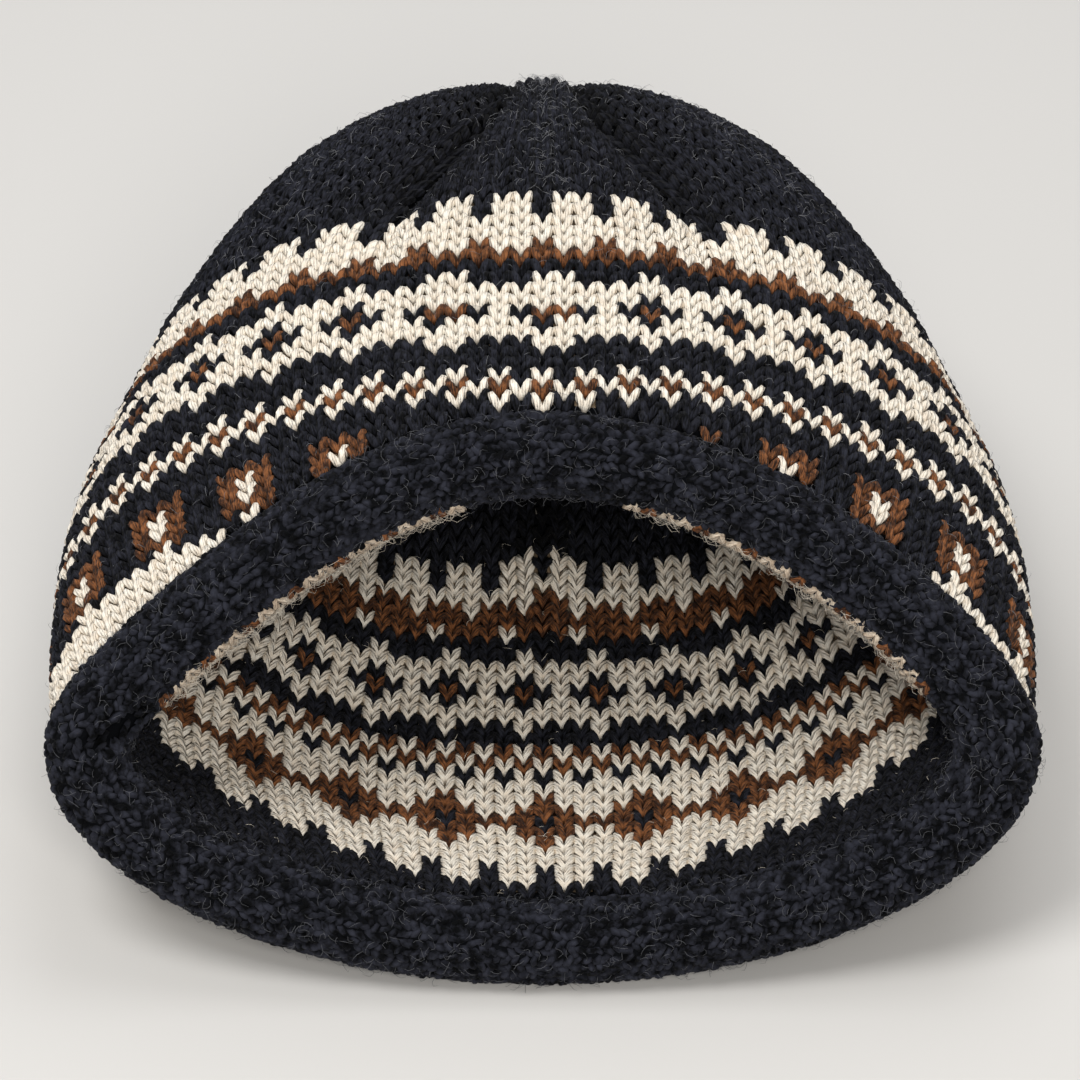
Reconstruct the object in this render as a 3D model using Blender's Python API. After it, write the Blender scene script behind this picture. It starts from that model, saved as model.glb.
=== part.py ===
"""A fair isle beanie lying on its back: a double knitted cap with a thick rolled brim.

The mouth faces -Y, the crown points to +Y, the lower wall rests on z = 0 and the origin is under
the middle of the hat's box.
Every wall is read from one surface, hat_point(turn, along, inset):
  turn   0 at the middle of the upper wall, 0.5 at the middle of the lower wall, once round is 1
  along  0 at the middle of the rolled brim, 1 at the apex of the crown
  inset  how far the point lies inside the outer surface
"""

import math
from collections import namedtuple

import bmesh
import bpy

# Driving dimensions, in metres
BODY_WIDTH = 0.222
BODY_HEIGHT = 0.116
LYING_LENGTH = 0.250
FABRIC = 0.003
LAYER_GAP = 0.0006
JOIN_GAP = 0.0005
ROLL_RADIUS = 0.0095
ROLL_INSET = 0.0065
POCKET = 0.0075
POCKET_LENGTH = 0.060
LEFT_DIP = 0.009
RIGHT_DIP = 0.003
VALLEY_DEPTH = 0.007
APEX_DIMPLE = 0.004
CROWN_FALL = 0.0045

# Shares and counts
OUTER_BAND_END = 0.485
INNER_BAND_END = 0.600
DIP_END = 0.35
DIP_PEAK = 4 / 27
VALLEY_START = 0.34
VALLEY_FULL = 0.80
VALLEY_LIMIT = 0.22
GORE_MIDDLE = 0.1
DIMPLE_START = 0.93
GORES = 7
COLUMNS_PER_GORE = 8
BAND_RINGS = 8
STEP_RINGS = 2
CROWN_RINGS = 9
CROWN_BUNCH = 1.35
ROLL_SIDES = 12
ROLL_COLUMNS_PER_GORE = 12
ROLL_LINE_STEPS = 4
RING_STEPS = 240
APEX_ALONG = 0.985
RING_SPACE = 0.006
START_STEP = 0.002
SHARP_ANGLE = 50

# One row for each section across the hat. y is in shares of LYING_LENGTH, half in shares of half
# the BODY_WIDTH and z in shares of BODY_HEIGHT. low, side and top are the middle of the lower
# wall, the widest point and the middle of the upper wall. full_low and full_top say how full the
# two halves of the section are: 1 is an ellipse, 0 a pointed arch.
Section = namedtuple(
    "Section", "along y_low y_side y_top half z_low z_side z_top full_low full_top"
)
SECTIONS = [
    Section(0.00, 0.066, 0.160, 0.300, 0.995, 0.026, 0.400, 0.966, 0.85, 0.52),
    Section(0.08, 0.135, 0.225, 0.355, 1.015, 0.010, 0.410, 0.985, 0.90, 0.62),
    Section(0.25, 0.295, 0.365, 0.460, 1.025, -0.030, 0.430, 1.010, 0.95, 0.82),
    Section(0.40, 0.440, 0.490, 0.560, 0.985, -0.030, 0.460, 1.040, 1.00, 0.94),
    Section(0.55, 0.590, 0.620, 0.665, 0.905, -0.010, 0.490, 1.060, 1.00, 1.00),
    Section(0.70, 0.740, 0.757, 0.780, 0.790, 0.050, 0.520, 1.045, 1.00, 1.00),
    Section(0.82, 0.860, 0.870, 0.885, 0.620, 0.150, 0.550, 0.965, 1.00, 1.00),
    Section(0.92, 0.948, 0.955, 0.962, 0.380, 0.330, 0.580, 0.820, 1.00, 1.00),
    Section(1.00, 0.990, 0.990, 0.990, 0.000, 0.590, 0.590, 0.590, 1.00, 1.00),
]

# The box runs from the front of the roll's lower lip to the crown, and its middle is at y = 0.
FRONT_Y = SECTIONS[0].y_low * LYING_LENGTH - ROLL_RADIUS
BACK_Y = SECTIONS[-1].y_side * LYING_LENGTH - CROWN_FALL
MOUTH_Y = SECTIONS[0].y_side * LYING_LENGTH - (FRONT_Y + BACK_Y) / 2

NAVY = (0.016, 0.018, 0.026, 1.0)
CREAM = (0.78, 0.72, 0.61, 1.0)
WOOL_ROUGHNESS = 0.9


def smooth_step(value):
    """0 below 0, 1 above 1, and an even slope between."""
    value = min(1.0, max(0.0, value))
    return value * value * (3 - 2 * value)


def slope_at(index):
    """The change of every column for each unit of along, at one row of the table."""
    before = SECTIONS[max(index - 1, 0)]
    here = SECTIONS[index]
    after = SECTIONS[min(index + 1, len(SECTIONS) - 1)]
    slopes = []
    for b, h, a in zip(before, here, after):
        parts = []
        if before is not here:
            parts.append((h - b) / (here.along - before.along))
        if after is not here:
            parts.append((a - h) / (after.along - here.along))
        slopes.append(sum(parts) / len(parts))
    return slopes


def section_at(along):
    """The section at any place along the hat, on a smooth curve through the table's rows."""
    along = min(1.0, max(0.0, along))
    index = 0
    while index < len(SECTIONS) - 2 and along > SECTIONS[index + 1].along:
        index += 1
    first = SECTIONS[index]
    second = SECTIONS[index + 1]
    span = second.along - first.along
    t = (along - first.along) / span
    values = []
    for p0, p1, m0, m1 in zip(first, second, slope_at(index), slope_at(index + 1)):
        values.append(
            (2 * t**3 - 3 * t**2 + 1) * p0
            + (t**3 - 2 * t**2 + t) * m0 * span
            + (3 * t**2 - 2 * t**3) * p1
            + (t**3 - t**2) * m1 * span
        )
    return Section(*values)


def profile(lean, full):
    """Height of a section's half above its widest line: an ellipse and a pointed arch, mixed."""
    return full * lean + (1 - full) * lean * lean


def plain_point(section, angle, along, inset):
    """A point of the section with no gores, at an angle from the middle of the upper wall."""
    half_height = BODY_HEIGHT / 2
    upper = max(0.0, math.cos(angle))
    lower = max(0.0, -math.cos(angle))
    x = (BODY_WIDTH / 2 - inset) * section.half * math.sin(angle)
    rise = BODY_HEIGHT * (section.z_top - section.z_side) * profile(upper, section.full_top)
    drop = BODY_HEIGHT * (section.z_side - section.z_low) * profile(lower, section.full_low)
    dip = LEFT_DIP if angle < 0 else RIGHT_DIP
    sag = upper * upper * (1 - upper) / DIP_PEAK
    rise -= dip * sag * (1 - smooth_step(along / DIP_END))
    z = BODY_HEIGHT * section.z_side + (rise - drop) * (1 - inset / half_height)
    back = (section.y_top - section.y_side) * profile(upper, section.full_top)
    forward = (section.y_side - section.y_low) * profile(lower, section.full_low)
    reach = section.y_side + back - forward - SECTIONS[0].y_side
    y = MOUTH_Y + LYING_LENGTH * reach * (1 - inset / LYING_LENGTH)
    return (x, y, z)


def angles_of(section, along):
    """Cumulative share of the way round for evenly spaced angles, so that columns lie evenly."""
    angles = [-math.pi + 2 * math.pi * i / RING_STEPS for i in range(RING_STEPS + 1)]
    points = [plain_point(section, angle, along, 0.0) for angle in angles]
    shares = [0.0]
    for p, q in zip(points, points[1:]):
        shares.append(shares[-1] + math.dist(p, q))
    middle = shares[RING_STEPS // 2]
    whole = shares[-1]
    return angles, [(share - middle) / whole for share in shares]


RINGS = {}


def angle_at(turn, along):
    """The section angle that lies at this share of the way round."""
    key = round(along, 6)
    if key not in RINGS:
        if along > APEX_ALONG:
            RINGS[key] = angles_of(section_at(APEX_ALONG), APEX_ALONG)
        else:
            RINGS[key] = angles_of(section_at(along), along)
    angles, shares = RINGS[key]
    turn = (turn - shares[0]) % 1.0 + shares[0]
    low = 0
    high = len(shares) - 1
    while high - low > 1:
        middle = (low + high) // 2
        if shares[middle] <= turn:
            low = middle
        else:
            high = middle
    t = (turn - shares[low]) / (shares[high] - shares[low])
    return angles[low] + t * (angles[high] - angles[low])


def valley(turn):
    """1 on the line between two gores and 0 on a gore's ridge."""
    place = abs((turn * GORES + 0.5) % 1.0 - 0.5) * 2
    return place**3


def hat_point(turn, along, inset):
    """A point of the hat, with the valleys between its gores and the dimple at its apex."""
    section = section_at(along)
    x, y, z = plain_point(section, angle_at(turn, along), along, inset)
    middle = BODY_HEIGHT * (section.z_side + (section.z_top - section.z_side) * GORE_MIDDLE)
    radius = math.hypot(x, z - middle)
    deepening = smooth_step((along - VALLEY_START) / (VALLEY_FULL - VALLEY_START))
    pinch = min(VALLEY_DEPTH * valley(turn) * deepening, VALLEY_LIMIT * radius)
    if radius > 0:
        x -= pinch * x / radius
        z -= pinch * (z - middle) / radius
    y -= APEX_DIMPLE * smooth_step((along - DIMPLE_START) / (1 - DIMPLE_START))
    return (x, y, max(z, inset))


def outer_inset(along):
    """The outer layer's outer side is the hat's outer surface at every place along it."""
    return 0.0


def inner_inset(along):
    """Where the inner layer starts: against the outer one, but apart behind the thick roll."""
    reach = along * LYING_LENGTH / POCKET_LENGTH
    return FABRIC + LAYER_GAP + POCKET * (1 - smooth_step(reach))


def roll_centre(turn):
    return hat_point(turn, 0.0, ROLL_INSET)


COLUMNS = GORES * COLUMNS_PER_GORE
TURNS = [(i / COLUMNS + 0.5) % 1.0 - 0.5 for i in range(COLUMNS)]
ROLL_LINE_COUNT = ROLL_LINE_STEPS * COLUMNS
ROLL_LINE = [roll_centre(i / ROLL_LINE_COUNT) for i in range(ROLL_LINE_COUNT)]


def clear_of_roll(turn, inset_at):
    """The first place along this column where a layer's surface is clear of the roll."""
    along = 0.0
    while along < OUTER_BAND_END:
        point = hat_point(turn, along, inset_at(along))
        nearest = min(math.dist(point, centre) for centre in ROLL_LINE)
        if nearest >= ROLL_RADIUS + JOIN_GAP:
            break
        along += START_STEP
    return along


def marks(first, last, count, bunch=1.0):
    """Places from first to last, closer together near last where bunch is over 1."""
    return [last - (last - first) * (1 - i / count) ** bunch for i in range(count + 1)]


# Both layers share these rings, so that their facets run side by side.
RING_MARKS = sorted(
    set(marks(0.0, OUTER_BAND_END, BAND_RINGS))
    | set(marks(OUTER_BAND_END, INNER_BAND_END, STEP_RINGS))
    | set(marks(INNER_BAND_END, 1.0, CROWN_RINGS, CROWN_BUNCH))
)


def layer_points(start, end, inset_at):
    """Rings of points over one side of a layer; start may differ from column to column."""
    rows = [[hat_point(turn, first, inset_at(first)) for turn, first in zip(TURNS, start)]]
    between = [mark for mark in RING_MARKS if max(start) + RING_SPACE < mark < end - RING_SPACE]
    for along in between + [end]:
        rows.append([hat_point(turn, along, inset_at(along)) for turn in TURNS])
    return rows


def bridge(bm, lower, upper):
    """Quads between two rings of vertices."""
    count = len(lower)
    for i in range(count):
        j = (i + 1) % count
        bm.faces.new((lower[i], lower[j], upper[j], upper[i]))


def finish_object(bm, name, material):
    """Turns the mesh into a named object with its faces pointing out."""
    bmesh.ops.recalc_face_normals(bm, faces=bm.faces[:])
    bmesh.ops.triangulate(bm, faces=bm.faces[:])
    mesh = bpy.data.meshes.new(name)
    bm.to_mesh(mesh)
    bm.free()
    mesh.shade_smooth()
    mesh.set_sharp_from_angle(angle=math.radians(SHARP_ANGLE))
    mesh.materials.append(material)
    obj = bpy.data.objects.new(name, mesh)
    bpy.context.scene.collection.objects.link(obj)
    return obj


def make_wall(name, material, outer_rows, inner_rows):
    """A layer open at both ends: two skins joined along their edges."""
    bm = bmesh.new()
    outer = [[bm.verts.new(p) for p in row] for row in outer_rows]
    inner = [[bm.verts.new(p) for p in row] for row in inner_rows]
    for skin in (outer, inner):
        for lower, upper in zip(skin, skin[1:]):
            bridge(bm, lower, upper)
    bridge(bm, outer[0], inner[0])
    bridge(bm, outer[-1], inner[-1])
    return finish_object(bm, name, material)


def make_dome(name, material, outer_rows, inner_rows):
    """A layer open at its first ring and closed at the apex, where the last ring is one point."""
    bm = bmesh.new()
    skins = []
    for rows in (outer_rows, inner_rows):
        skin = [[bm.verts.new(p) for p in row] for row in rows[:-1]]
        apex = bm.verts.new(rows[-1][0])
        for lower, upper in zip(skin, skin[1:]):
            bridge(bm, lower, upper)
        last = skin[-1]
        for i in range(COLUMNS):
            bm.faces.new((last[i], last[(i + 1) % COLUMNS], apex))
        skins.append(skin)
    bridge(bm, skins[0][0], skins[1][0])
    return finish_object(bm, name, material)


def make_layer(band_name, crown_name, outer_inset_at, band_end):
    """The two pieces of one knitted layer: its patterned band and its plain crown."""

    def inner_inset_at(along):
        return outer_inset_at(along) + FABRIC

    sides = []
    for inset_at in (outer_inset_at, inner_inset_at):
        start = [clear_of_roll(turn, inset_at) for turn in TURNS]
        sides.append(layer_points(start, band_end, inset_at))
    make_wall(band_name, cream_wool, *sides)
    crown_start = [band_end + JOIN_GAP / LYING_LENGTH] * COLUMNS
    sides = [
        layer_points(crown_start, 1.0, inset_at) for inset_at in (outer_inset_at, inner_inset_at)
    ]
    make_dome(crown_name, navy_wool, *sides)


def make_rolled_brim():
    """A round roll swept along the rim."""
    count = GORES * ROLL_COLUMNS_PER_GORE
    centres = [roll_centre(i / count) for i in range(count)]
    bm = bmesh.new()
    rings = []
    for i, centre in enumerate(centres):
        ahead = centres[(i + 1) % count]
        behind = centres[i - 1]
        tangent = [a - b for a, b in zip(ahead, behind)]
        length = math.hypot(*tangent)
        tangent = [value / length for value in tangent]
        back = [-tangent[1] * tangent[0], 1.0 - tangent[1] ** 2, -tangent[1] * tangent[2]]
        length = math.hypot(*back)
        back = [value / length for value in back]
        side = [
            tangent[1] * back[2] - tangent[2] * back[1],
            tangent[2] * back[0] - tangent[0] * back[2],
            tangent[0] * back[1] - tangent[1] * back[0],
        ]
        ring = []
        for k in range(ROLL_SIDES):
            angle = 2 * math.pi * k / ROLL_SIDES
            point = [
                c + ROLL_RADIUS * (math.cos(angle) * b + math.sin(angle) * s)
                for c, b, s in zip(centre, back, side)
            ]
            point[2] = max(point[2], 0.0)
            ring.append(bm.verts.new(point))
        rings.append(ring)
    for ring, following in zip(rings, rings[1:] + rings[:1]):
        bridge(bm, ring, following)
    return finish_object(bm, "rolled_brim", navy_wool)


def wool(name, color):
    material = bpy.data.materials.new(name)
    material.use_nodes = True
    shader = material.node_tree.nodes["Principled BSDF"]
    shader.inputs["Base Color"].default_value = color
    shader.inputs["Roughness"].default_value = WOOL_ROUGHNESS
    shader.inputs["Metallic"].default_value = 0.0
    return material


for old in list(bpy.data.objects):
    bpy.data.objects.remove(old)

navy_wool = wool("navy_wool", NAVY)
cream_wool = wool("cream_wool", CREAM)

make_layer("fair_isle_band", "crown", outer_inset, OUTER_BAND_END)
make_layer("inner_band", "inner_crown", inner_inset, INNER_BAND_END)
make_rolled_brim()
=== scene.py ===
"""The looks of a fair isle beanie lying on its back: every stitch of both layers as yarn."""

import math
from collections import namedtuple

import bpy
import numpy as np
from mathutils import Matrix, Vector


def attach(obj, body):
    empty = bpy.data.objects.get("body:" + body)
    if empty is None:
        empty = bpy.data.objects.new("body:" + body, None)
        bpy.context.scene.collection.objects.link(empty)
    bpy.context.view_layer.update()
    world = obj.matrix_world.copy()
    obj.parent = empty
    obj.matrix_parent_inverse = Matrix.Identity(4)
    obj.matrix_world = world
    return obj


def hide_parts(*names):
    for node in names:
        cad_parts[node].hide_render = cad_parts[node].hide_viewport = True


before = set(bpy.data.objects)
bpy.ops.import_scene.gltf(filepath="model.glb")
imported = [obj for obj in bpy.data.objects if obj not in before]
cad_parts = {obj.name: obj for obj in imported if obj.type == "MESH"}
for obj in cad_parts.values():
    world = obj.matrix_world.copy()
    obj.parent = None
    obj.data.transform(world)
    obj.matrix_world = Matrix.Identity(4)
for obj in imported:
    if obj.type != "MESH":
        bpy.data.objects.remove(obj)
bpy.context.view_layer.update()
random = np.random.default_rng(41)

# The hat's surface, as in the part's source, in metres
BODY_WIDTH = 0.222
BODY_HEIGHT = 0.116
LYING_LENGTH = 0.250
FABRIC = 0.003
LAYER_GAP = 0.0006
ROLL_RADIUS = 0.0095
ROLL_INSET = 0.0065
POCKET = 0.0075
POCKET_LENGTH = 0.060
LEFT_DIP = 0.009
RIGHT_DIP = 0.003
VALLEY_DEPTH = 0.0120
APEX_DIMPLE = 0.004
CROWN_FALL = 0.0045

# Places along the hat, from 0 at the rim to 1 at the apex
OUTER_BAND_END = 0.485
INNER_BAND_END = 0.600
DIP_END = 0.35
VALLEY_START = 0.24
VALLEY_FULL = 0.72
NARROWING_START = 0.44
NARROWING_SPAN = 0.36
SKYLINE_START = 0.66
SKYLINE_SPAN = 0.16
DIMPLE_START = 0.93
DIMPLE_SPAN = 0.07
APEX_ALONG = 0.985

GORES = 7
GORE_NARROWING = 0.72
GORE_MIDDLE = 0.1
SKYLINE_EASE = 0.75
VALLEY_SHARPNESS = 5
VALLEY_LIMIT = 0.22
OUTLINE_POINTS = 481
STITCHES = 112
# Makes the sag's greatest depth equal to its stated dip
DIP_FACTOR = 6.75
# The least height of any yarn over the surface that the hat lies on
FLOOR_CLEARANCE = 0.0001

Section = namedtuple(
    "Section", "along y_low y_side y_top half z_low z_side z_top full_low full_top"
)
SECTIONS = [
    Section(0.00, 0.066, 0.160, 0.300, 0.995, 0.026, 0.400, 0.966, 0.85, 0.52),
    Section(0.08, 0.135, 0.225, 0.355, 1.015, 0.010, 0.410, 0.985, 0.90, 0.62),
    Section(0.25, 0.295, 0.365, 0.460, 1.025, -0.030, 0.430, 1.010, 0.95, 0.82),
    Section(0.40, 0.440, 0.490, 0.560, 0.985, -0.030, 0.460, 1.040, 1.00, 0.94),
    Section(0.55, 0.590, 0.620, 0.665, 0.905, -0.010, 0.490, 1.060, 1.00, 1.00),
    Section(0.70, 0.740, 0.757, 0.780, 0.790, 0.050, 0.520, 1.045, 1.00, 1.00),
    Section(0.82, 0.860, 0.870, 0.885, 0.620, 0.150, 0.550, 0.965, 1.00, 1.00),
    Section(0.92, 0.948, 0.955, 0.962, 0.380, 0.330, 0.580, 0.820, 1.00, 1.00),
    Section(1.00, 0.990, 0.990, 0.990, 0.000, 0.590, 0.590, 0.590, 1.00, 1.00),
]
FRONT_Y = SECTIONS[0].y_low * LYING_LENGTH - ROLL_RADIUS
BACK_Y = SECTIONS[-1].y_side * LYING_LENGTH - CROWN_FALL
MOUTH_Y = SECTIONS[0].y_side * LYING_LENGTH - (FRONT_Y + BACK_Y) / 2


def smooth_step(value):
    value = np.clip(value, 0.0, 1.0)
    return value * value * (3 - 2 * value)


def unit(vectors):
    return vectors / np.maximum(np.linalg.norm(vectors, axis=-1, keepdims=True), 1e-12)


def section_at(along):
    """The section at any place along the hat, on a smooth curve through the table's rows."""
    table = np.array(SECTIONS)
    marks = table[:, 0]
    slopes = np.diff(table, axis=0) / np.diff(marks)[:, None]
    slopes = np.vstack([slopes[:1], (slopes[1:] + slopes[:-1]) / 2, slopes[-1:]])
    along = min(1.0, max(0.0, along))
    i = min(int(np.searchsorted(marks, along, side="left")) - 1, len(marks) - 2)
    i = max(i, 0)
    span = marks[i + 1] - marks[i]
    t = (along - marks[i]) / span
    row = (
        (2 * t**3 - 3 * t**2 + 1) * table[i]
        + (t**3 - 2 * t**2 + t) * slopes[i] * span
        + (3 * t**2 - 2 * t**3) * table[i + 1]
        + (t**3 - t**2) * slopes[i + 1] * span
    )
    return Section(*row)


def profile(lean, full):
    """How round a wall is: straight sided where full is 1, and pointed where it is less."""
    return full * lean + (1 - full) * lean * lean


def plain_points(section, angle, along, inset):
    """Points of one section with no gores, at angles from the middle of the upper wall."""
    upper = np.maximum(0.0, np.cos(angle))
    lower = np.maximum(0.0, -np.cos(angle))
    x = (BODY_WIDTH / 2 - inset) * section.half * np.sin(angle)
    rise = BODY_HEIGHT * (section.z_top - section.z_side) * profile(upper, section.full_top)
    drop = BODY_HEIGHT * (section.z_side - section.z_low) * profile(lower, section.full_low)
    dip = np.where(angle < 0, LEFT_DIP, RIGHT_DIP)
    dip = dip * DIP_FACTOR * (1 - smooth_step(along / DIP_END))
    rise = rise - dip * upper**2 * (1 - upper)
    z = BODY_HEIGHT * section.z_side + (rise - drop) * (1 - inset / (BODY_HEIGHT / 2))
    back = (section.y_top - section.y_side) * profile(upper, section.full_top)
    forward = (section.y_side - section.y_low) * profile(lower, section.full_low)
    reach = section.y_side + back - forward - SECTIONS[0].y_side
    y = MOUTH_Y + LYING_LENGTH * reach * (1 - inset / LYING_LENGTH)
    return np.stack([x, y, z], -1)


def lean_of_gores(turns, along):
    """Turns with the upper gore narrowed towards the crown, and the others filling in."""
    away = (turns + 0.5) % 1.0 - 0.5
    edge = 0.5 / GORES
    shift = edge * GORE_NARROWING * smooth_step((along - NARROWING_START) / NARROWING_SPAN)
    size = np.abs(away)
    share = np.where(size < edge, size / edge, (0.5 - size) / (0.5 - edge))
    return np.sign(away) * (size - shift * share)


def from_gore_middle(turns):
    """0 in the middle of a gore, 1 in the valley between two."""
    return np.abs((turns * GORES + 0.5) % 1.0 - 0.5) * 2


def deepening(along):
    """How far the valleys have deepened at a place along the hat."""
    return smooth_step((along - VALLEY_START) / (VALLEY_FULL - VALLEY_START))


def ring_points(along, turns, inset):
    """Points of the hat at one place along it, evenly spaced round it by their turns."""
    section = section_at(along)
    even = section_at(min(along, APEX_ALONG))
    grid = np.linspace(-math.pi, math.pi, OUTLINE_POINTS)
    outline = plain_points(even, grid, min(along, APEX_ALONG), 0.0)
    steps = np.linalg.norm(np.diff(outline, axis=0), axis=1)
    shares = np.concatenate([[0.0], np.cumsum(steps)])
    shares = (shares - shares[len(grid) // 2]) / shares[-1]
    wrapped = (lean_of_gores(turns, along) - shares[0]) % 1.0 + shares[0]
    points = plain_points(section, np.interp(wrapped, shares, grid), along, inset)
    middle = BODY_HEIGHT * (section.z_side + (section.z_top - section.z_side) * GORE_MIDDLE)
    across = points[:, [0, 2]] - np.array([0.0, middle])
    radius = np.maximum(np.linalg.norm(across, axis=1), 1e-9)
    easing = 1 - SKYLINE_EASE * smooth_step((along - SKYLINE_START) / SKYLINE_SPAN)
    pinch = VALLEY_DEPTH * from_gore_middle(turns) ** VALLEY_SHARPNESS * deepening(along) * easing
    pinch = np.minimum(pinch, VALLEY_LIMIT * radius)
    points[:, [0, 2]] -= across * (pinch / radius)[:, None]
    points[:, 1] -= APEX_DIMPLE * smooth_step((along - DIMPLE_START) / DIMPLE_SPAN)
    points[:, 2] = np.maximum(points[:, 2], inset)
    return points


def inner_face_inset(along):
    """How far inside the hat's surface the face lies that shows through the mouth."""
    reach = along * LYING_LENGTH / POCKET_LENGTH
    return 2 * FABRIC + LAYER_GAP + POCKET * (1 - smooth_step(reach))


class Skin:
    """One face of the knitting, ready to be read at many places at once."""

    ROWS = 300
    COLUMNS = 448

    def __init__(self, inset_at, side):
        turns = np.arange(self.COLUMNS + 1) / self.COLUMNS
        alongs = np.arange(self.ROWS + 1) / self.ROWS
        self.points = np.stack([ring_points(a, turns, inset_at(a)) for a in alongs])
        around = np.roll(self.points[:, :-1], -1, axis=1) - np.roll(self.points[:, :-1], 1, axis=1)
        around = np.concatenate([around, around[:, :1]], axis=1)
        up = np.gradient(self.points, axis=0)
        self.normals = unit(np.cross(around, up) * side)
        self.normals[-1] = np.array([0.0, side, 0.0])

    def read(self, grid, turn, along):
        """Values of a grid between its points."""
        a = np.clip(along, 0.0, 0.9999) * self.ROWS
        t = (turn % 1.0) * self.COLUMNS
        i = a.astype(int)
        j = np.minimum(t.astype(int), self.COLUMNS - 1)
        fa = (a - i)[..., None]
        ft = (t - j)[..., None]
        low = grid[i, j] * (1 - ft) + grid[i, j + 1] * ft
        high = grid[i + 1, j] * (1 - ft) + grid[i + 1, j + 1] * ft
        return low * (1 - fa) + high * fa

    def at(self, turn, along):
        """Points and normals of the face."""
        return self.read(self.points, turn, along), unit(self.read(self.normals, turn, along))


outer_skin = Skin(lambda along: 0.0, 1.0)
inner_skin = Skin(inner_face_inset, -1.0)

# Colour charts, read from the crown to the rim. k is the stitch counted from the middle of the
# upper or lower wall, and each row gives the colour of every stitch in it.
NAVY, CREAM, RUST = 0, 1, 2


def spaced(k, repeat, shift=0):
    """How far a stitch lies from the nearest motif's middle."""
    return np.abs((k - shift + repeat // 2) % repeat - repeat // 2)


def outer_eye(k):
    """As spaced(), but the two eyes next to the middle are two stitches wide, as knitted."""
    right = spaced(k, 4, 1)
    left = spaced(k, 4, -5)
    middle = np.where(k >= 0, 0, np.minimum(-k, k + 4))
    return np.where(k >= 1, right, np.where(k <= -5, left, middle))


def eye_rows(d):
    """Seven rows of cream with a navy ring and a rust eye in it."""
    narrow = np.where(d == 0, CREAM, NAVY)
    plain = np.full_like(d, CREAM)
    lid = np.where(d == 0, NAVY, CREAM)
    eye = np.where(d == 0, RUST, np.where(d == 1, NAVY, CREAM))
    return [narrow, plain, lid, eye, lid, plain, narrow]


def outer_chart(k):
    """Teeth, zigzag, eyes, specks, hearts and a plain edge."""
    teeth = np.where(k % 3 == 0, NAVY, CREAM)
    cream = np.full_like(k, CREAM)
    rust = np.full_like(k, RUST)
    navy = np.full_like(k, NAVY)
    zigzag = np.where(k % 3 == 0, RUST, CREAM)
    even = k % 2 == 0
    d = np.where(k >= 0, spaced(k, 5, 2), spaced(k, 5))
    d = np.where((k == -1) | (k == -2), 2, d)
    rows = [teeth, teeth, cream, cream, zigzag, rust, navy]
    eyes = eye_rows(outer_eye(k))
    eyes[2] = np.where((k == 0) | (k == 1) | (k == -5) | (k == -4), CREAM, eyes[2])
    eyes[4] = np.where((k == 1) | (k == -4), CREAM, eyes[4])
    rows += eyes + [navy, navy]
    rows += [np.where(even, CREAM, NAVY), np.where(even, RUST, CREAM), np.where(even, CREAM, NAVY)]
    rows += [navy, navy]
    block = np.where(d <= 1, RUST, NAVY)
    heart = np.where(d == 0, CREAM, block)
    rows += [block, heart, heart, block, np.where(d == 0, CREAM, NAVY)]
    rows += [cream, cream, cream, cream, cream]
    return np.stack(rows)


def inner_chart(k):
    """Teeth, specks, eyes, a zigzag, diamonds, teeth and the navy rows that reach the roll."""
    teeth = np.where(k % 3 == 0, NAVY, CREAM)
    cream = np.full_like(k, CREAM)
    rust = np.full_like(k, RUST)
    navy = np.full_like(k, NAVY)
    even = k % 2 == 0
    d = spaced(k, 5)
    specks = np.where(k % 3 == 1, CREAM, RUST)
    rows = [teeth, teeth, cream, specks, rust, np.where(k % 4 == 2, CREAM, RUST), navy]
    rows += eye_rows(spaced(k, 4, 1))
    rows += [navy]
    rows += [np.where(even, RUST, CREAM), np.where(even, CREAM, RUST), np.where(even, NAVY, CREAM)]
    rows += [cream]
    point = np.where(d == 0, RUST, CREAM)
    wide = np.where(d <= 1, RUST, CREAM)
    rows += [point, wide, np.where(d == 0, NAVY, RUST), wide, point]
    rows += [cream, cream, teeth, teeth] + [navy] * 16
    return np.stack(rows)


# How many rows each layer has between its crown and the rim
RIM_ALONG = 0.040
MIDDLE_ROWS = 18.7
LEFT_ROWS = 29.3
RIGHT_ROWS = 26.6
INNER_ROWS = 29.2
CORNER_ROWS = 7.0
CORNER_END_ROWS = 6.0
# How much of its last row a band still knits, where the roll covers the rest
OUTER_PART_ROW = 0.95
INNER_PART_ROW = 0.3

# Turns over which the numbers of rows change, from the middle of the upper or lower wall
MIDDLE_ROUNDING = 0.0006
MIDDLE_EDGE = 0.0245
SIDE_SPAN = 0.175
SWAY_SPAN = 0.12
UNDER_START = 0.38
CORNER_SPAN = 0.25
CORNER_END_START = 0.14
CORNER_END_SPAN = 0.10


def outer_rows(turn):
    """How many rows of the outer band show before the roll hides them."""
    away = (turn + 0.5) % 1.0 - 0.5
    share = (np.sqrt(away**2 + MIDDLE_ROUNDING) - MIDDLE_EDGE) / SIDE_SPAN
    side = LEFT_ROWS + (RIGHT_ROWS - LEFT_ROWS) * smooth_step(away / SWAY_SPAN)
    side += (LEFT_ROWS - RIGHT_ROWS) * smooth_step((away - UNDER_START) / SWAY_SPAN)
    return MIDDLE_ROWS + (side - MIDDLE_ROWS) * np.minimum(share, 1.0)


def inner_rows(turn):
    """How many rows run to the rim inside: more at the corners, where navy rows fill up."""
    away = np.abs(turn % 1.0 - 0.5)
    extra = CORNER_ROWS * smooth_step(away / CORNER_SPAN)
    last = CORNER_END_ROWS * smooth_step((away - CORNER_END_START) / CORNER_END_SPAN)
    return INNER_ROWS + extra + last


def band_along(row, end, rows):
    """Where the line under a row lies: row 0 is the crown's edge."""
    return end - row * (end - RIM_ALONG) / rows


# Meshes from arrays

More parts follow.
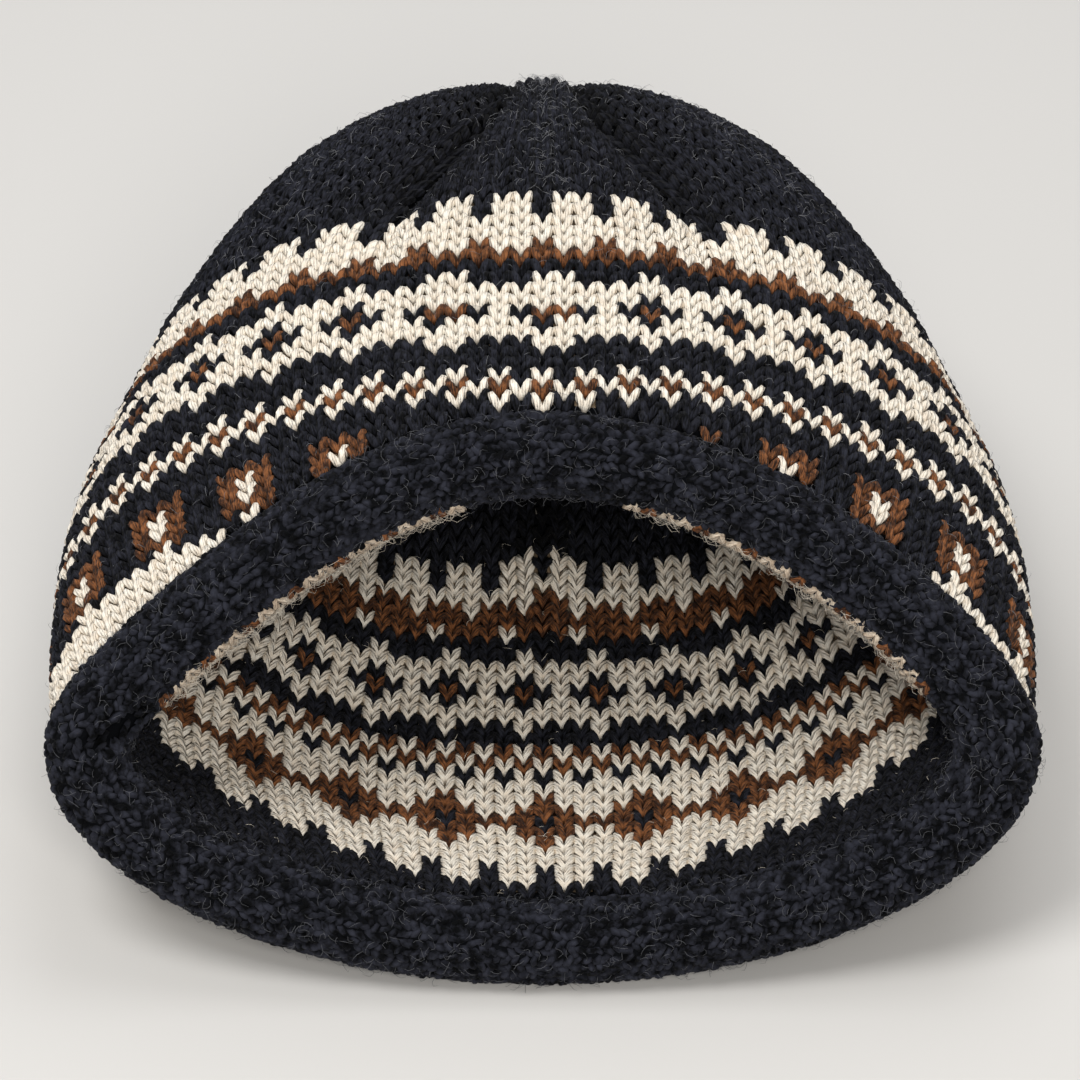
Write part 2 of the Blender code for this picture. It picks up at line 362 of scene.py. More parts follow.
def mesh_from(name, points, faces, materials, uvs=None, material_index=None, shade=None):
    """An object that rides on the hat. All faces have the same number of corners."""
    mesh = bpy.data.meshes.new(name)
    mesh.vertices.add(len(points))
    mesh.vertices.foreach_set("co", np.asarray(points, np.float32).ravel())
    count, corners = faces.shape
    mesh.loops.add(count * corners)
    mesh.loops.foreach_set("vertex_index", faces.astype(np.int32).ravel())
    mesh.polygons.add(count)
    mesh.polygons.foreach_set("loop_start", np.arange(count, dtype=np.int32) * corners)
    mesh.polygons.foreach_set("loop_total", np.full(count, corners, np.int32))
    if uvs is not None:
        layer = mesh.uv_layers.new(name="yarn")
        layer.data.foreach_set("uv", np.asarray(uvs, np.float32)[faces.ravel()].ravel())
    if shade is not None:
        layer = mesh.attributes.new("shade", "FLOAT", "POINT")
        layer.data.foreach_set("value", np.asarray(shade, np.float32))
    if material_index is not None:
        mesh.polygons.foreach_set("material_index", material_index.astype(np.int32))
    mesh.update(calc_edges=True)
    mesh.validate()
    mesh.shade_smooth()
    for material in materials:
        mesh.materials.append(material)
    obj = bpy.data.objects.new(name, mesh)
    bpy.context.scene.collection.objects.link(obj)
    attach(obj, "root")
    return obj


def repeated(one, count, per):
    """The faces of one small form, for count forms of per vertices each."""
    faces = np.array(one)
    return (faces[None] + (np.arange(count) * per)[:, None, None]).reshape(-1, faces.shape[1])


def lift_off_floor(points, height=FLOOR_CLEARANCE):
    points[..., 2] = np.maximum(points[..., 2], height)
    return points


# One leg of a V stitch: across in stitch widths, up in row heights, lift in metres
Knot = namedtuple("Knot", "across up lift size")
LEG = [
    Knot(0.02, -0.34, -0.0019, 0.0),
    Knot(0.12, 0.05, -0.0002, 0.94),
    Knot(0.265, 0.47, 0.0004, 1.0),
    Knot(0.41, 0.89, 0.0002, 0.86),
    Knot(0.55, 1.30, -0.0009, 0.0),
]
LEG_SIDES = 5
PLAIN_LEG_SIDES = 4
LEG_WIDE = 0.225
LEG_THICK = 0.0012
TWIST = 0.55
# How unevenly the stitches are knitted, for a whole stitch and for one leg of it
ACROSS_DRIFT, ACROSS_OWN = 0.02, 0.012
UP_DRIFT, UP_OWN = 0.035, 0.02
LIFT_DRIFT = 0.00012
WIDTH_DRIFT = 0.05


def stitch_legs(skin, turn, low, high, width, sides=LEG_SIDES):
    """Vertices, triangles and UVs of both legs of every stitch, each a closed spindle."""
    count = len(turn)
    jitter = random.normal(0.0, 1.0, (count, 4))
    sizes = np.array([knot.size for knot in LEG])
    left, _ = skin.at(turn - width / 2, (low + high) / 2)
    right, _ = skin.at(turn + width / 2, (low + high) / 2)
    real = np.linalg.norm(right - left, axis=1)
    legs, leg_uvs = [], []
    for side in (-1.0, 1.0):
        own = random.normal(0.0, 1.0, (count, 3))
        centres, normals = [], []
        for knot in LEG:
            across = side * knot.across + ACROSS_DRIFT * jitter[:, 0] + ACROSS_OWN * own[:, 0]
            up = knot.up + UP_DRIFT * jitter[:, 1] + UP_OWN * own[:, 1]
            p, n = skin.at(turn + across * width, low + (high - low) * up)
            lift = knot.lift + LIFT_DRIFT * jitter[:, 2]
            centres.append(p + n * lift[:, None])
            normals.append(n)
        centres = np.stack(centres, 1)
        normals = np.stack(normals, 1)
        ahead = unit(np.gradient(centres, axis=1))
        flat = unit(np.cross(normals, ahead))
        rise = np.cross(ahead, flat)
        half = LEG_WIDE * real[:, None] * sizes * (1 + WIDTH_DRIFT * jitter[:, 3:4])
        thick = LEG_THICK * sizes[None, :]
        parts = [centres[:, :1]]
        marks = [np.full((count, 1, 2), 0.5)]
        for ring in range(1, len(LEG) - 1):
            for s in range(sides):
                angle = 2 * math.pi * s / sides - math.pi / 2
                point = (
                    centres[:, ring]
                    + flat[:, ring] * (half[:, ring] * math.cos(angle))[:, None]
                    + rise[:, ring] * (thick[:, ring] * math.sin(angle))[:, None]
                )
                parts.append(point[:, None])
                share = ring / (len(LEG) - 1)
                marks.append(np.full((count, 1, 2), (s / sides + side * TWIST * share, share)))
        parts.append(centres[:, -1:])
        marks.append(np.full((count, 1, 2), (0.5 + side * TWIST, 1.0)))
        legs.append(np.concatenate(parts, 1))
        leg_uvs.append(np.concatenate(marks, 1))
    points = np.stack(legs, 1)
    uvs = np.stack(leg_uvs, 1).reshape(-1, 2)
    per = points.shape[2]
    points = lift_off_floor(points.reshape(-1, 3))
    one = []
    for s in range(sides):
        t = (s + 1) % sides
        one.append((0, 1 + t, 1 + s))
        for ring in range(len(LEG) - 3):
            a = 1 + ring * sides
            b = a + sides
            one.append((a + s, a + t, b + t))
            one.append((a + s, b + t, b + s))
        last = 1 + (len(LEG) - 3) * sides
        one.append((last + s, last + t, per - 1))
    return points, repeated(one, count * 2, per), uvs


# Wool

PLY_LINES = 5
# The wave texture has about this scale for one line across the yarn
ONE_LINE = 0.3142
STREAKS = (16.0, 2.0, 0.0)
DRIFT = 320.0
DYE_SCALE = 420.0
FIBRE_SCALE = 2600.0
DYE_EDGES = (0.42, 0.60)


def plain_material(name, color, rough, gloss=0.5):
    material = bpy.data.materials.new(name)
    material.use_nodes = True
    shader = material.node_tree.nodes["Principled BSDF"]
    shader.inputs["Base Color"].default_value = (*color, 1.0)
    shader.inputs["Roughness"].default_value = rough
    shader.inputs["Specular IOR Level"].default_value = gloss
    return material


def wool(name, dark, light, fuzz, rough=0.75, gloss=0.22, shaded=False):
    """Twisted plies, uneven dye and a fine bump of fibres.

    A shaded wool carries painted light and shade: it is darkened or lightened by the "shade" that its
    mesh holds.
    """
    material = plain_material(name, light, rough, gloss)
    tree = material.node_tree
    shader = tree.nodes["Principled BSDF"]
    shader.inputs["Sheen Weight"].default_value = fuzz
    shader.inputs["Sheen Roughness"].default_value = 0.45

    def node(kind, operation=None, **values):
        made = tree.nodes.new(kind)
        if operation:
            made.operation = operation
        for key, value in values.items():
            made.inputs[key.replace("_", " ")].default_value = value
        return made

    def link(source, output, target, socket):
        tree.links.new(source.outputs[output], target.inputs[socket])

    place = node("ShaderNodeTexCoord")
    dye = node("ShaderNodeTexNoise", Scale=DYE_SCALE, Detail=3.0)
    link(place, "Object", dye, "Vector")
    drift = node("ShaderNodeVectorMath", "SCALE", Scale=DRIFT)
    link(place, "Object", drift, 0)
    along = node("ShaderNodeVectorMath", "MULTIPLY_ADD")
    along.inputs[1].default_value = STREAKS
    link(place, "UV", along, 0)
    link(drift, "Vector", along, 2)
    streak = node("ShaderNodeTexNoise", Scale=1.0, Detail=4.0)
    link(along, "Vector", streak, "Vector")
    half = node("ShaderNodeMath", "MULTIPLY")
    half.inputs[1].default_value = 0.5
    link(streak, "Fac", half, 0)
    blend = node("ShaderNodeMath", "MULTIPLY_ADD")
    blend.inputs[1].default_value = 0.5
    link(dye, "Fac", blend, 0)
    link(half, "Value", blend, 2)
    ramp = node("ShaderNodeValToRGB")
    for element, edge, color in zip(ramp.color_ramp.elements, DYE_EDGES, (dark, light)):
        element.position = edge
        element.color = (*color, 1.0)
    link(blend, "Value", ramp, "Fac")
    if shaded:
        shade = node("ShaderNodeAttribute")
        shade.attribute_name = "shade"
        scale = node("ShaderNodeVectorMath", "SCALE")
        link(ramp, "Color", scale, 0)
        link(shade, "Fac", scale, "Scale")
        link(scale, "Vector", shader, "Base Color")
    else:
        link(ramp, "Color", shader, "Base Color")

    plies = node("ShaderNodeTexWave", Scale=ONE_LINE * PLY_LINES, Distortion=0.6, Detail_Scale=3.0)
    link(place, "UV", plies, "Vector")
    fibres = node("ShaderNodeTexNoise", Scale=FIBRE_SCALE, Detail=3.0)
    link(place, "Object", fibres, "Vector")
    ply_bump = node("ShaderNodeBump", Strength=0.8, Distance=0.0005)
    link(plies, "Fac", ply_bump, "Height")
    fibre_bump = node("ShaderNodeBump", Strength=0.6, Distance=0.0003)
    link(fibres, "Fac", fibre_bump, "Height")
    link(ply_bump, "Normal", fibre_bump, "Normal")
    link(fibre_bump, "Normal", shader, "Normal")
    return material


NAVY_DARK = (0.0007, 0.0009, 0.0016)
NAVY_LIGHT = (0.0225, 0.0242, 0.0345)
navy_wool = wool("navy_yarn", NAVY_DARK, NAVY_LIGHT, 0.02, 0.92, 0.11)
# Navy with painted light and painted shade, read from each mesh's shade
shade_painted_navy_wool = wool("shade_painted_navy_yarn", NAVY_DARK, NAVY_LIGHT, 0.02, 0.92, 0.11, shaded=True)
cream_wool = wool("cream_yarn", (0.80, 0.71, 0.595), (0.905, 0.862, 0.775), 0.03)
rust_wool = wool("rust_yarn", (0.028, 0.010, 0.0045), (0.262, 0.100, 0.036), 0.04, 0.75, 0.18)
# A darker copy of the cream yarn, as painted shade on the strip under the lip
painted_shade_strip_wool = wool("painted_shade_strip_yarn", (0.50, 0.39, 0.29), (0.76, 0.66, 0.54), 0.04)
WOOLS = {NAVY: ("navy", navy_wool), CREAM: ("cream", cream_wool), RUST: ("rust", rust_wool)}


def make_band(side, skin, chart, end, rows_at, middle_turn, part_row):
    """The patterned stitches of one layer, one piece for each colour of yarn."""
    k = np.arange(STITCHES) - STITCHES // 2
    codes = chart(k)
    turn = middle_turn + k / STITCHES
    rows = rows_at(turn)
    number = np.broadcast_to(np.arange(1.0, len(codes) + 1)[:, None], codes.shape)
    keep = number <= rows + part_row
    high = band_along(number - 1, end, rows)
    low = band_along(number, end, rows)
    turns = np.broadcast_to(turn, codes.shape)
    pieces = {}
    for code, (colour, material) in WOOLS.items():
        pick = keep & (codes == code)
        points, faces, uvs = stitch_legs(skin, turns[pick], low[pick], high[pick], 1 / STITCHES)
        name = f"{side}_stitches_{colour}"
        pieces[code] = mesh_from(name, points, faces, [material], uvs)
    return pieces


CROWN_ROW = 0.0039
INNER_CROWN_ROW = 0.0048
CROWN_STEPS = 200
CROWN_END = 0.999
# A row's height is set by these parts of the lengths over the upper and the lower wall
UPPER_PART, LOWER_PART = 0.7, 0.3
GORE_STEPS = 24
LEAST_STITCHES = 1.6
# Painted light and shade on the crown: lighter on the ridges of the gores, darker in the valleys,
# where shade falls
RIDGE_PAINTED_LIGHT = 0.35
VALLEY_PAINTED_SHADE = 1.15
VALLEY_DARK_SHARPNESS = 2.5


def column_length(skin, turn, start):
    """Places up one column of the crown, and the length of yarn surface up to each."""
    alongs = np.linspace(start, CROWN_END, CROWN_STEPS)
    points, _ = skin.at(np.full_like(alongs, turn), alongs)
    steps = np.linalg.norm(np.diff(points, axis=0), axis=1)
    return alongs, np.concatenate([[0.0], np.cumsum(steps)])


def make_crown(side, skin, start, row_height):
    """Plain navy stitches, in gores that narrow by a stitch at each edge every few rows."""
    alongs, upper = column_length(skin, 0.0, start)
    _, lower = column_length(skin, 0.5, start)
    lengths = upper * UPPER_PART + lower * LOWER_PART
    rows = int(lengths[-1] / row_height)
    marks = np.interp(np.arange(rows + 1) / rows * lengths[-1], lengths, alongs)
    full_count = STITCHES // GORES
    first = -full_count // 2
    edges = (np.arange(GORES * GORE_STEPS + 1) / GORE_STEPS - 0.5) / GORES
    stitches = []
    widest = None
    for low, high in zip(marks[:-1], marks[1:]):
        ring, _ = skin.at(edges, np.full(len(edges), (low + high) / 2))
        steps = np.linalg.norm(np.diff(ring, axis=0), axis=1)
        spans = steps.reshape(GORES, GORE_STEPS).sum(axis=1)
        widest = widest or np.mean(spans)
        for gore, span in enumerate(spans):
            count = max(LEAST_STITCHES, full_count * min(1.0, span / widest))
            for column in range(first, full_count // 2):
                if column == first:
                    fits = count >= full_count - 0.5
                else:
                    fits = abs(column) <= count / 2 + 0.1
                if fits:
                    turn = (gore + column / count) / GORES
                    stitches.append((turn, low, high, 1 / GORES / count))
    turns, lows, highs, widths = np.array(stitches).T
    points, faces, uvs = stitch_legs(skin, turns, lows, highs, widths, PLAIN_LEG_SIDES)
    # Painted shade in the valleys and painted light on the ridges, as a factor on the dye
    dark = VALLEY_PAINTED_SHADE * from_gore_middle(turns) ** VALLEY_DARK_SHARPNESS
    shade = 1.0 + deepening(lows) * (RIDGE_PAINTED_LIGHT - dark)
    shade = np.repeat(shade, len(points) // len(shade))
    return mesh_from(
        f"{side}_crown_stitches", points, faces, [shade_painted_navy_wool], uvs, shade=shade
    )


outer_pieces = make_band(
    "outer", outer_skin, outer_chart, OUTER_BAND_END, outer_rows, 0.0, OUTER_PART_ROW
)
inner_pieces = make_band(
    "inner", inner_skin, inner_chart, INNER_BAND_END, inner_rows, 0.5, INNER_PART_ROW
)
outer_crown = make_crown("outer", outer_skin, OUTER_BAND_END, CROWN_ROW)
inner_crown = make_crown("inner", inner_skin, INNER_BAND_END, INNER_CROWN_ROW)


# Much darker than their yarns: painted shade in the gaps between the stitches
BACKING = [
    plain_material("shade_backing_navy", (0.003, 0.0035, 0.005), 1.0, 0.1),
    plain_material("shade_backing_cream", (0.20, 0.15, 0.10), 1.0, 0.1),
    plain_material("shade_backing_rust", (0.03, 0.011, 0.004), 1.0, 0.1),
]
BACKING_DEPTH = 0.0011
BACKING_RINGS = 66
BACKING_START = RIM_ALONG + 0.004
BACKING_END = 0.995
BACKING_CLEARANCE = 0.0006
# The last part of a row beside the roll, where the backing stays navy
BARE_ROW = 0.4


def backing_colours(side, along, turn):
    """The colour of the stitches over one ring of the backing."""
    if side == "outer":
        end, rows, chart, middle_turn = OUTER_BAND_END, outer_rows(turn), outer_chart, 0.0
    else:
        end, rows, chart, middle_turn = INNER_BAND_END, inner_rows(turn), inner_chart, 0.5
    k = np.arange(STITCHES) - STITCHES // 2
    codes = chart(k)
    row = (end - along) * rows / (end - RIM_ALONG)
    bare = row < 0
    if side == "outer":
        bare = bare | (row > rows - BARE_ROW)
    stitch = np.rint((turn - middle_turn) * STITCHES).astype(int)
    stitch = (stitch + STITCHES // 2) % STITCHES
    index = np.clip(np.floor(row).astype(int), 0, len(codes) - 1)
    return np.where(bare, NAVY, codes[index, stitch])


def make_backing():
    """The yarn behind the stitches: one closed shell, coloured as the stitches over it but much
    darker, as painted shade between them.
    """
    marks = np.linspace(BACKING_START, BACKING_END, BACKING_RINGS)
    column = np.arange(STITCHES)
    edges = (column - 0.5) / STITCHES
    rings, colours = [], []
    for side, skin, places in (("outer", outer_skin, marks), ("inner", inner_skin, marks[::-1])):
        for i, place in enumerate(places):
            p, n = skin.at(edges, np.full(STITCHES, place))
            rings.append(lift_off_floor(p - n * BACKING_DEPTH, BACKING_CLEARANCE))
            if i < BACKING_RINGS - 1:
                along = (place + places[i + 1]) / 2
                colours.append(backing_colours(side, along, column / STITCHES))
            else:
                colours.append(np.full(STITCHES, NAVY))
    following = (column + 1) % STITCHES
    faces = []
    for ring in range(len(rings)):
        a = ring * STITCHES
        b = (ring + 1) % len(rings) * STITCHES
        faces.append(np.stack([a + column, a + following, b + following, b + column], -1))
    mesh_from(
        "knit_backing", np.concatenate(rings), np.concatenate(faces), BACKING,
        material_index=np.concatenate(colours),
    )


make_backing()

# The rolled brim: a tube covered with purl bumps
ROLL_BUMP_COLUMNS = 250
ROLL_BUMP_ROWS = 28
HIDDEN_BUMP_ROWS = 2
BUMP_SIDES = 5
BUMP_SINK = 0.0009
BUMP_HALF_LONG = 0.00185
BUMP_HALF_SHORT = 0.00092
BUMP_HEIGHT = 0.0014
# Each bump's rings: how wide and how high they are
BUMP_RINGS = ((1.0, 0.0), (0.80, 0.62), (0.34, 0.95))
BUMP_SPIN, SPIN_DRIFT = 0.62, 0.28
PLACE_DRIFT = 0.13
SIZE_DRIFT = 0.12
HEIGHT_DRIFT = 0.14
CORE_COLUMNS = 224
CORE_SIDES = 20
CORE_SINK = 0.0007
CORE_CLEARANCE = 0.0005
TANGENT_STEP = 0.002


def roll_frames(turns):
    """Middle of the roll, the way along it and the two directions across it, at every turn."""
    centre = ring_points(0.0, turns, ROLL_INSET)
    ahead = ring_points(0.0, turns + TANGENT_STEP, ROLL_INSET)
    behind = ring_points(0.0, turns - TANGENT_STEP, ROLL_INSET)
    tangent = unit(ahead - behind)
    back = unit(np.array([0.0, 1.0, 0.0]) - tangent * tangent[:, 1:2])
    out = np.cross(tangent, back)
    return centre, tangent, back, out


# The crease where the two lips fold together in the left corner of the mouth, in turns and degrees
CREASE_TURNS = (0.7415, 0.7790)
CREASE_ANGLES = (190.0, 217.0)
CREASE_WIDE = 13.0
CREASE_DEPTH = 0.0072
# Painted shade in the crease, as factors on the dye: from the open wool to the least that is left
OPEN_SHADE, CREASE_PAINTED_SHADE, LEAST_SHADE = 1.08, 1.5, 0.02


def crease(turn, angle, wide=CREASE_WIDE):
    """How far into the crease a place on the roll lies, from 0 to 1."""
    share = np.clip((turn % 1.0 - CREASE_TURNS[0]) / (CREASE_TURNS[1] - CREASE_TURNS[0]), 0.0, 1.0)
    line = CREASE_ANGLES[0] + (CREASE_ANGLES[1] - CREASE_ANGLES[0]) * share
    off = (np.degrees(angle) - line) / wide
    return np.minimum(1.0, 6.0 * share * (1 - share)) * np.exp(-off * off)


def make_roll_core():
    """The tube under the bumps, dark as painted shade between them."""
    turns = np.arange(CORE_COLUMNS) / CORE_COLUMNS
    centre, _, back, out = roll_frames(turns)
    points = []
    for s in range(CORE_SIDES):
        angle = 2 * math.pi * s / CORE_SIDES
        dent = CREASE_DEPTH * crease(turns, angle, 1.6 * CREASE_WIDE)
        radius = (ROLL_RADIUS - CORE_SINK - dent)[:, None]
        points.append(centre + radius * (math.cos(angle) * back + math.sin(angle) * out))
    points = lift_off_floor(np.stack(points, 1).reshape(-1, 3), CORE_CLEARANCE)
    faces = []
    for i in range(CORE_COLUMNS):
        a = i * CORE_SIDES
        b = (i + 1) % CORE_COLUMNS * CORE_SIDES
        for s in range(CORE_SIDES):
            t = (s + 1) % CORE_SIDES
            faces.append((a + s, b + s, b + t, a + t))
    mesh_from("roll_core", points, np.array(faces), BACKING[:1])


def make_roll_bumps():
    """Reverse stockinette: rows of short rounded loops, each row half a loop on from the last."""
    rows, columns = ROLL_BUMP_ROWS, ROLL_BUMP_COLUMNS
    row = np.repeat(np.arange(rows), columns)
    column = np.tile(np.arange(columns), rows)
    open_side = np.abs((row + rows / 2) % rows - rows / 2) > HIDDEN_BUMP_ROWS
    row, column = row[open_side], column[open_side]
    jitter = random.normal(0.0, 1.0, (len(row), 5))
    turn = (column + 0.5 * (row % 2) + PLACE_DRIFT * jitter[:, 0]) / columns
    angle = 2 * math.pi * (row + PLACE_DRIFT * jitter[:, 1]) / rows
    centre, tangent, back, out = roll_frames(turn)
    normal = np.cos(angle)[:, None] * back + np.sin(angle)[:, None] * out
    across = -np.sin(angle)[:, None] * back + np.cos(angle)[:, None] * out
    fold = crease(turn, angle)
    base = centre + normal * (ROLL_RADIUS - BUMP_SINK - CREASE_DEPTH * fold)[:, None]
    spin = BUMP_SPIN * np.where(row % 2 == 0, 1, -1) + SPIN_DRIFT * jitter[:, 2]
    long_axis = np.cos(spin)[:, None] * tangent + np.sin(spin)[:, None] * across
    short_axis = np.cos(spin)[:, None] * across - np.sin(spin)[:, None] * tangent
    size = 1 + SIZE_DRIFT * jitter[:, 3]
    half_long = BUMP_HALF_LONG * size
    half_short = BUMP_HALF_SHORT * size
    height = BUMP_HEIGHT * (1 + HEIGHT_DRIFT * jitter[:, 4])
    shells = []
    for share, rise in BUMP_RINGS:
        for s in range(BUMP_SIDES):
            a = 2 * math.pi * s / BUMP_SIDES
            shells.append(
                base
                + long_axis * (half_long * share * math.cos(a))[:, None]
                + short_axis * (half_short * share * math.sin(a))[:, None]
                + normal * (height * rise)[:, None]
            )
    per = len(shells)
    points = lift_off_floor(np.stack(shells, 1).reshape(-1, 3))
    one = []
    for ring in range(len(BUMP_RINGS) - 1):
        for s in range(BUMP_SIDES):
            t = (s + 1) % BUMP_SIDES
            a = ring * BUMP_SIDES
            b = a + BUMP_SIDES
            one.append((a + s, a + t, b + t))
            one.append((a + s, b + t, b + s))
    top = per - BUMP_SIDES
    for s in range(1, BUMP_SIDES - 1):
        one.append((top, top + s, top + s + 1))
    faces = repeated(one, len(row), per)
    # Painted shade: the dye of the bumps darkens into the crease
    shade = np.repeat(np.maximum(OPEN_SHADE - CREASE_PAINTED_SHADE * fold, LEAST_SHADE), per)
    return mesh_from("roll_bumps", points, faces, [shade_painted_navy_wool], shade=shade)


make_roll_core()
roll_bumps = make_roll_bumps()

# The strip of the inner layer's edge that shows along the underside of the upper lip: its rows in
# degrees round the roll, and its first and last stitches from the middle
STRIP_START = 214
STRIP_ROW = 21
STRIP_ROWS = 3
STRIP_REACH = 24
STRIP_MIDDLE = 5
STRIP_SINK = 0.0002


class RollSkin(Skin):
    """The roll's own surface, along running once round the roll from its back."""

    def __init__(self):
        turns = np.arange(self.COLUMNS + 1) / self.COLUMNS
        centre, _, back, out = roll_frames(turns)
        angle = 2 * math.pi * np.arange(self.ROWS + 1)[:, None, None] / self.ROWS
        self.normals = np.cos(angle) * back[None] + np.sin(angle) * out[None]
        self.points = centre[None] + self.normals * (ROLL_RADIUS - STRIP_SINK)


def make_lip_strip():
    """Rows of cream stitches in painted shade, with a rust one every third stitch of the first row.
    """
    skin = RollSkin()
    k = np.arange(-STRIP_REACH, STRIP_REACH + 1)
    k = k[np.abs(k) >= STRIP_MIDDLE]
    row, k = (grid.ravel() for grid in np.meshgrid(np.arange(STRIP_ROWS), k, indexing="ij"))
    low = (STRIP_START + STRIP_ROW * row) / 360
    high = (STRIP_START + STRIP_ROW * (row + 1)) / 360
    rust = (row == 0) & (k % 3 == 0)
    for colour, pick, yarn in (("cream", ~rust, painted_shade_strip_wool), ("rust", rust, rust_wool)):
        points, faces, uvs = stitch_legs(
            skin, k[pick] / STITCHES, low[pick], high[pick], 1 / STITCHES
        )
        mesh_from(f"lip_strip_{colour}", points, faces, [yarn], uvs)


make_lip_strip()

# Loose fibres
FIBRE_RADIUS = 0.000047
FIBRE_TAPER = (1.0, 1.0, 0.8, 0.35)
FIBRE_STEPS = len(FIBRE_TAPER)
FIBRE_SIDES = 3
FIBRE_ROUGH = 0.8
FIBRE_CLEARANCE = 0.0002
FIBRE_ROOT = 0.0005
RIDGE_PULL = 1.6


def make_fibres(name, starts, normals, material, slot, long):
    """Thin three-sided curls that rise from the yarn and bend back to it."""
    count = len(starts)
    any_way = random.normal(0.0, 1.0, (count, 3))
    tangent = unit(np.cross(normals, any_way))
    side = np.cross(normals, tangent)
    length = long * random.uniform(0.35, 1.0, count)
    rise = length * random.uniform(0.10, 0.75, count)
    curl = length * random.normal(0.0, 0.32, count)
    t = np.linspace(0.0, 1.0, FIBRE_STEPS)[None, :, None]
    line = (
        starts[:, None]
        + tangent[:, None] * length[:, None, None] * t
        + side[:, None] * curl[:, None, None] * np.sin(3.4 * t)
        + normals[:, None] * rise[:, None, None] * np.sin(2.2 * t)
    )
    line = lift_off_floor(line, FIBRE_CLEARANCE)
    ahead = unit(np.gradient(line, axis=1))
    # The small shift keeps a fibre that stands straight up from losing its width
    flat = unit(np.cross(ahead, normals[:, None] + 0.01))
    up = np.cross(ahead, flat)
    radius = FIBRE_RADIUS * np.array(FIBRE_TAPER)[None, :, None]
    ring = []
    for s in range(FIBRE_SIDES):
        angle = 2 * math.pi * s / FIBRE_SIDES
        ring.append(line + (flat * math.cos(angle) + up * math.sin(angle)) * radius)
    points = lift_off_floor(np.stack(ring, 2).reshape(-1, 3))
    one = []
    for step in range(FIBRE_STEPS - 1):
        a = step * FIBRE_SIDES
        b = a + FIBRE_SIDES
        for s in range(FIBRE_SIDES):
            t = (s + 1) % FIBRE_SIDES
            one.append((a + s, a + t, b + t, b + s))
    faces = repeated(one, count, FIBRE_STEPS * FIBRE_SIDES)
    mesh_from(name, points, faces, [material])


def to_gore_middles(turn):
    """Turns drawn towards the middles of the gores, where the pale fibres are partly painted light on
    the ridges and partly wool that rubs and fuzzes.
    """
    gore = np.round(turn * GORES)
    off = (turn * GORES - gore) * 2
    return (gore + 0.5 * np.sign(off) * np.abs(off) ** RIDGE_PULL) / GORES


def skin_starts(skin, count, low, high, on_ridges=False):
    """Roots of fibres on a layer of the knitting, and their normals."""
    turn = random.uniform(0.0, 1.0, count)
    if on_ridges:
        turn = to_gore_middles(turn)
    along = random.uniform(low, high, count)
    p, n = skin.at(turn, along)
    return p + n * FIBRE_ROOT, n


def roll_starts(count):
    """Roots of fibres on the roll, but none in the crease."""
    turn = random.uniform(0.0, 1.0, count)
    angle = random.uniform(0.0, 2 * math.pi, count)
    clear = crease(turn, angle, 1.5 * CREASE_WIDE) < 0.3
    turn, angle = turn[clear], angle[clear]
    centre, _, back, out = roll_frames(turn)
    normal = np.cos(angle)[:, None] * back + np.sin(angle)[:, None] * out
    return centre + normal * ROLL_RADIUS, normal


def strip_starts(count):
    """Roots of fibres on both halves of the strip."""
    side = np.where(random.random(count) < 0.5, -1, 1)
    turn = side * random.uniform(STRIP_MIDDLE, STRIP_REACH, count) / STITCHES
    degrees = random.uniform(STRIP_START + 4, STRIP_START + 55, count)
    return RollSkin().at(turn, degrees / 360)


# The navy yarn's fibres in pale greys: partly their own lighter colour, partly painted sheen where
# they catch light
grey_fibre = plain_material("grey_fibre", (0.19, 0.195, 0.212), FIBRE_ROUGH)
dark_fibre = plain_material("dark_fibre", (0.105, 0.109, 0.122), FIBRE_ROUGH)
cream_fibre = plain_material("cream_fibre", (0.72, 0.66, 0.57), FIBRE_ROUGH)
# More pale fibres on the ridges of the gores: partly painted light
roots = skin_starts(outer_skin, 3400, OUTER_BAND_END - 0.01, 0.95, on_ridges=True)
make_fibres("crown_fibres", *roots, grey_fibre, "navy_wool", long=0.0036)
roots = skin_starts(outer_skin, 1600, 0.05, OUTER_BAND_END)
make_fibres("band_fibres", *roots, grey_fibre, "pattern_wool", long=0.0030)
roots = skin_starts(inner_skin, 1000, 0.04, 0.7)
make_fibres("inner_fibres", *roots, cream_fibre, "pattern_wool", long=0.0028)
make_fibres("roll_fibres", *roll_starts(3400), dark_fibre, "navy_wool", long=0.0034)
make_fibres("lip_fibres", *strip_starts(1500), cream_fibre, "pattern_wool", long=0.0046)

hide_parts("fair_isle_band")
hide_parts("inner_band")
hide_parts("crown")
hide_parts("inner_crown")
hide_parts("rolled_brim")


# Floor, light and camera

FLOOR_HALF = 6.0


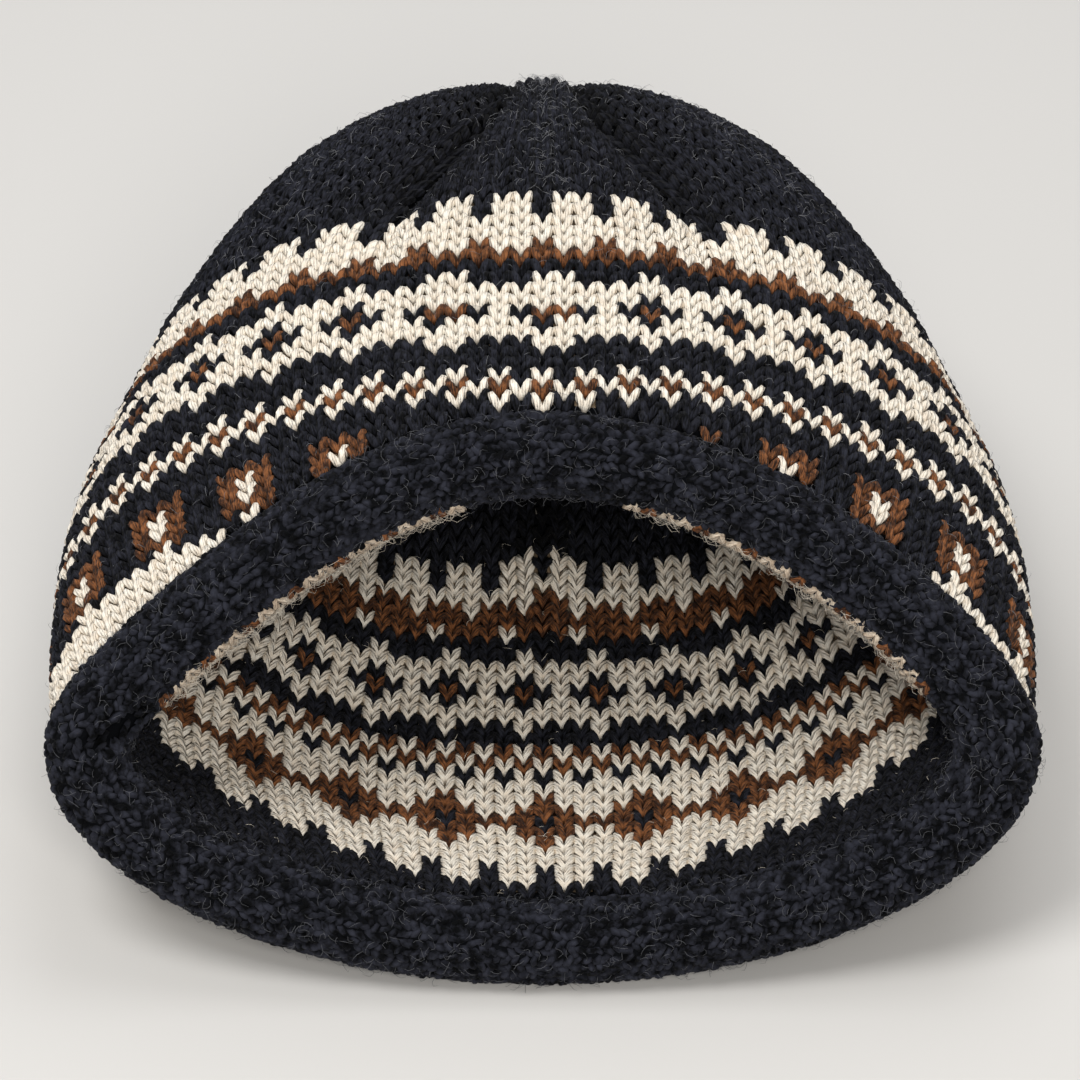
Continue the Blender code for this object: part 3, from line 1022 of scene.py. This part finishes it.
def make_floor():
    mesh = bpy.data.meshes.new("floor")
    corners = [(x * FLOOR_HALF, y * FLOOR_HALF, 0.0) for x, y in ((-1, -1), (1, -1), (1, 1), (-1, 1))]
    mesh.from_pydata(corners, [], [(0, 1, 2, 3)])
    mesh.materials.append(plain_material("pale_floor", (0.60, 0.594, 0.585), 0.9))
    floor = bpy.data.objects.new("floor", mesh)
    bpy.context.scene.collection.objects.link(floor)


def area_light(name, place, target, size, power, color=(1.0, 1.0, 1.0)):
    data = bpy.data.lights.new(name, "AREA")
    data.shape = "DISK"
    data.size = size
    data.energy = power
    data.color = color
    light = bpy.data.objects.new(name, data)
    light.location = place
    direction = Vector(target) - Vector(place)
    light.rotation_euler = direction.to_track_quat("-Z", "Y").to_euler()
    bpy.context.scene.collection.objects.link(light)


# The camera looks from this elevation towards AIM, then turns up by AIM_LIFT degrees
CAMERA_DISTANCE = 1.0
CAMERA_ELEVATION = 40.0
AIM_LIFT = 2.34
PIXELS_PER_METRE = 4400.0
PHOTO_SIZE = 1080.0
SENSOR = 36.0
AIM = Vector((-0.0006, -0.085, 0.055))


def make_camera():
    data = bpy.data.cameras.new("camera")
    data.sensor_width = SENSOR
    data.lens = PIXELS_PER_METRE * CAMERA_DISTANCE * SENSOR / PHOTO_SIZE
    camera = bpy.data.objects.new("camera", data)
    tilt = math.radians(CAMERA_ELEVATION)
    camera.location = AIM + CAMERA_DISTANCE * Vector((0.0, -math.cos(tilt), math.sin(tilt)))
    camera.rotation_euler = (math.radians(90 - CAMERA_ELEVATION + AIM_LIFT), 0.0, 0.0)
    bpy.context.scene.collection.objects.link(camera)
    bpy.context.scene.camera = camera


def make_world():
    world = bpy.data.worlds.new("studio")
    world.use_nodes = True
    background = world.node_tree.nodes["Background"]
    background.inputs["Color"].default_value = (1.0, 0.99, 0.98, 1.0)
    background.inputs["Strength"].default_value = 0.36
    bpy.context.scene.world = world


make_floor()
make_camera()
make_world()
area_light("key", (-0.6, -0.3, 1.6), (0.0, 0.0, 0.05), 0.8, 15.2, (1.0, 0.985, 0.96))
area_light("top", (0.3, 0.7, 1.5), (0.0, 0.0, 0.05), 1.1, 8.0)
area_light("front", (0.15, -1.35, 1.05), (0.0, -0.05, 0.04), 0.7, 14.5, (1.0, 0.96, 0.90))
bpy.context.scene.view_settings.view_transform = "Standard"
